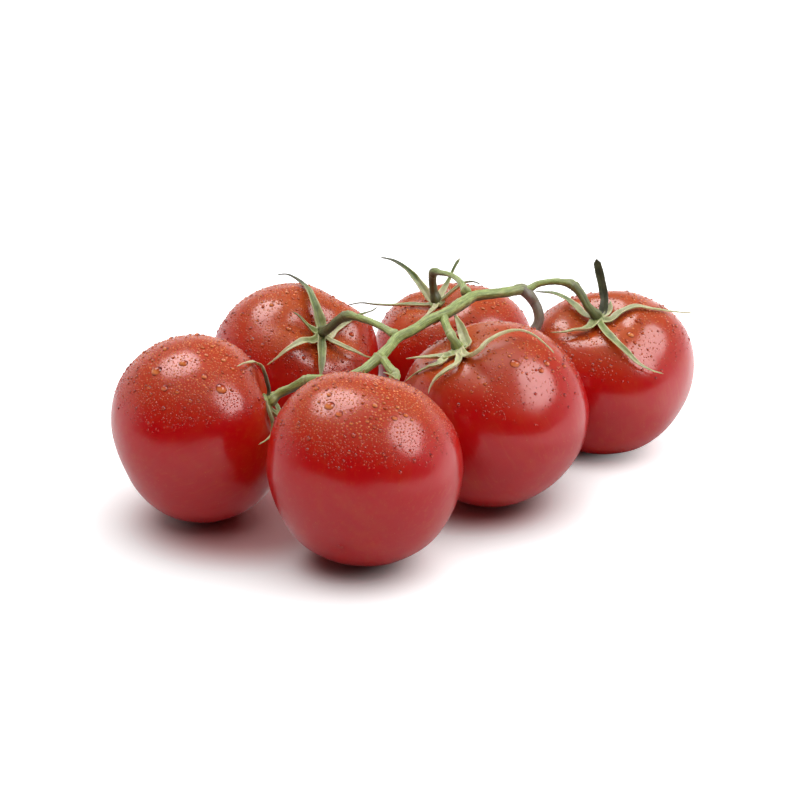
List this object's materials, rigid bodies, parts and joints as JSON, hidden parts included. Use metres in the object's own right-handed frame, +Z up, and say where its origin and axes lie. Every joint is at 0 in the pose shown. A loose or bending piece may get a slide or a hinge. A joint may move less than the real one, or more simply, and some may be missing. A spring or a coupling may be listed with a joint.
{
  "type": "truss of tomatoes",
  "caption": "Ripe red round tomatoes still on their green truss, each with a leafy calyx and a jointed stalk on one curved stem, lying on a flat surface.",
  "frame": {"origin": "middle of the truss's bounding box, on the surface it rests on", "axes": "+Z up; +X along the longest side of the bunch, from the tip of the truss to its cut end; -Y towards the side seen in front"},
  "size_m": [0.2051, 0.191, 0.0701],
  "materials": {
    "tomato_skin": "smooth waxy ripe red fruit skin, glossy, with water beads",
    "stem_green": "fresh green ribbed stem, satin, finely downy, darker at the knuckles",
    "calyx_green": "fresh green sepal leaf with a pale midrib and edges, satin"
  },
  "bodies": {
    "root": {"main_stem": "stem_green", "fruit_stalk_1": "stem_green", "fruit_stalk_2": "stem_green", "fruit_stalk_3": "stem_green", "fruit_stalk_4": "stem_green", "fruit_stalk_5": "stem_green", "fruit_stalk_6": "stem_green", "calyx_1": "calyx_green", "calyx_2": "calyx_green", "calyx_3": "calyx_green", "calyx_4": "calyx_green", "calyx_5": "calyx_green", "calyx_6": "calyx_green", "tomato_1": "tomato_skin", "tomato_2": "tomato_skin", "tomato_3": "tomato_skin", "tomato_4": "tomato_skin", "tomato_5": "tomato_skin", "tomato_6": "tomato_skin"}
  },
  "joints": []
}
